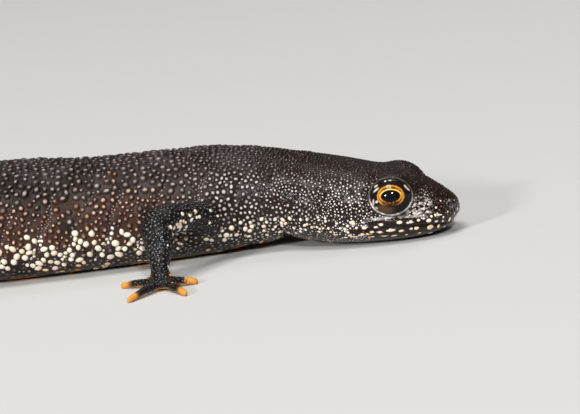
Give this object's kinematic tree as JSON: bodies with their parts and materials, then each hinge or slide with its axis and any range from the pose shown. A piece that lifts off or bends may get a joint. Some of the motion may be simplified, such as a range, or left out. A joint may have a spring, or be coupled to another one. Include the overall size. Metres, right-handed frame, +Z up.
{
  "type": "great crested newt model",
  "caption": "Life-size still model of a female great crested newt in its land phase, lying at rest on its belly, head turned a little to its right.",
  "frame": {"origin": "middle of the belly's flat, where the trunk rests on the floor", "axes": "+X along the body towards the head, +Y to the newt's left, +Z up"},
  "size_m": [0.1338, 0.0448, 0.0107],
  "materials": {
    "skin_back": "moist, warty, dark brown to black",
    "skin_flank": "moist, warty, brown-black with white stippling low on the sides and an orange belly with black blotches",
    "skin_limb": "moist, fine-grained, black-brown with orange digits",
    "eye": "wet and clear, golden iris round a black pupil"
  },
  "bodies": {
    "root": {"head": "skin_back", "lower_jaw": "skin_back", "eye_right": "eye", "eye_left": "eye", "neck": "skin_back", "trunk_front": "skin_flank", "trunk_rear": "skin_flank", "tail_base": "skin_flank", "tail_middle": "skin_flank", "tail_tip": "skin_flank", "fore_right_leg": "skin_limb", "fore_right_foot": "skin_limb", "fore_left_leg": "skin_limb", "fore_left_foot": "skin_limb", "hind_right_leg": "skin_limb", "hind_right_foot": "skin_limb", "hind_left_leg": "skin_limb", "hind_left_foot": "skin_limb"}
  },
  "joints": []
}
